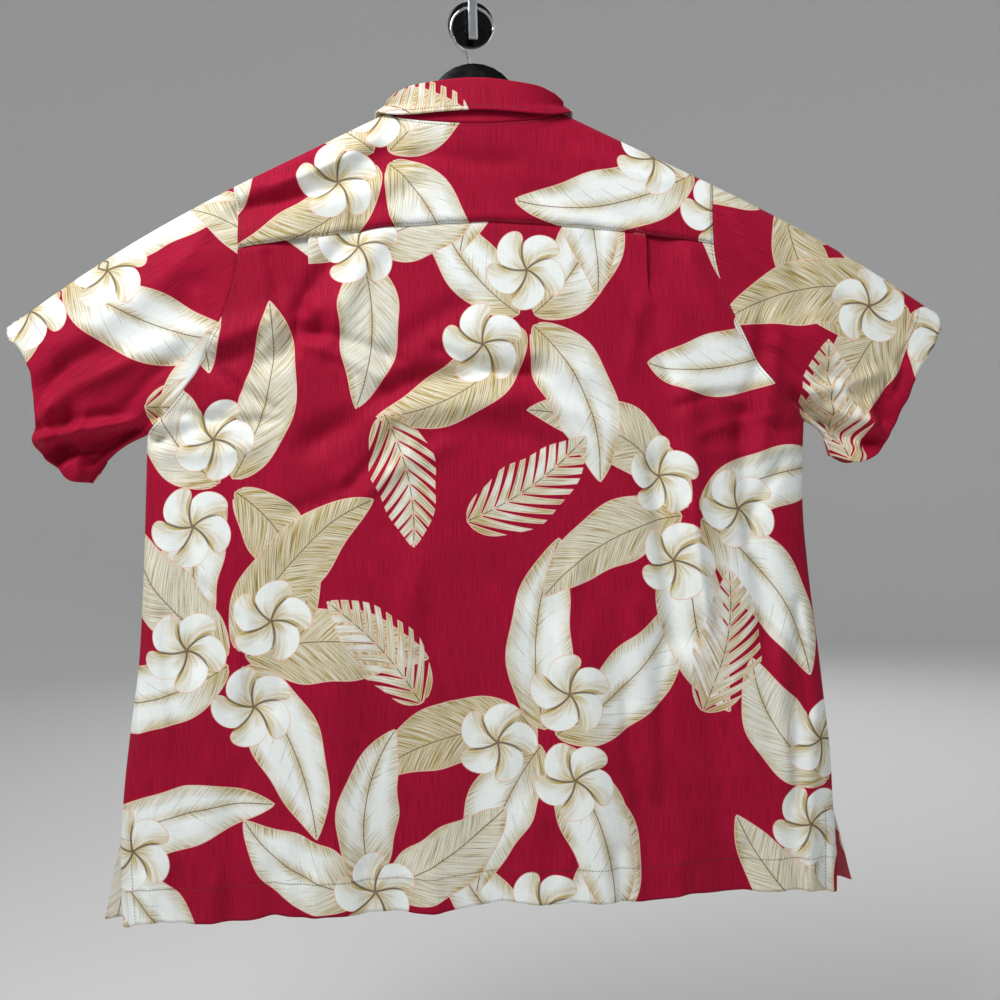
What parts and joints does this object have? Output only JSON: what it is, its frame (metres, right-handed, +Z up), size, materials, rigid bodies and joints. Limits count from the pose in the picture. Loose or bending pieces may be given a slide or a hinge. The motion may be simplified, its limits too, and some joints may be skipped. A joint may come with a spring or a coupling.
{
  "type": "hawaiian shirt on a hanger and wall hook",
  "caption": "Short-sleeved tropical camp shirt with back yoke, knife pleats and folded collar, on a suit hanger that hangs from a chrome and black wall hook.",
  "frame": {"origin": "centre of the wall hook's flat back face, which lies on the wall", "axes": "+Y into the wall, -Y towards a viewer who sees the shirt's back, +Z up, +X to that viewer's right"},
  "size_m": [0.947, 0.0651, 0.942],
  "materials": {
    "cloth": "soft woven rayon with a low sheen, crimson with a cream and gold tropical print",
    "button": "polished shell-like resin",
    "hanger": "moulded, satin black",
    "chrome": "polished chrome plate",
    "plate": "glossy black"
  },
  "bodies": {
    "root": {"yoke": "cloth", "back": "cloth", "front_left": "cloth", "front_right": "cloth", "sleeve_left": "cloth", "sleeve_right": "cloth", "collar": "cloth", "button_1": "button", "button_2": "button", "button_3": "button", "button_4": "button", "button_5": "button", "button_6": "button", "hanger_body": "hanger", "hanger_hook": "chrome", "wall_hook_rose": "plate", "wall_hook_arm": "chrome"}
  },
  "joints": []
}
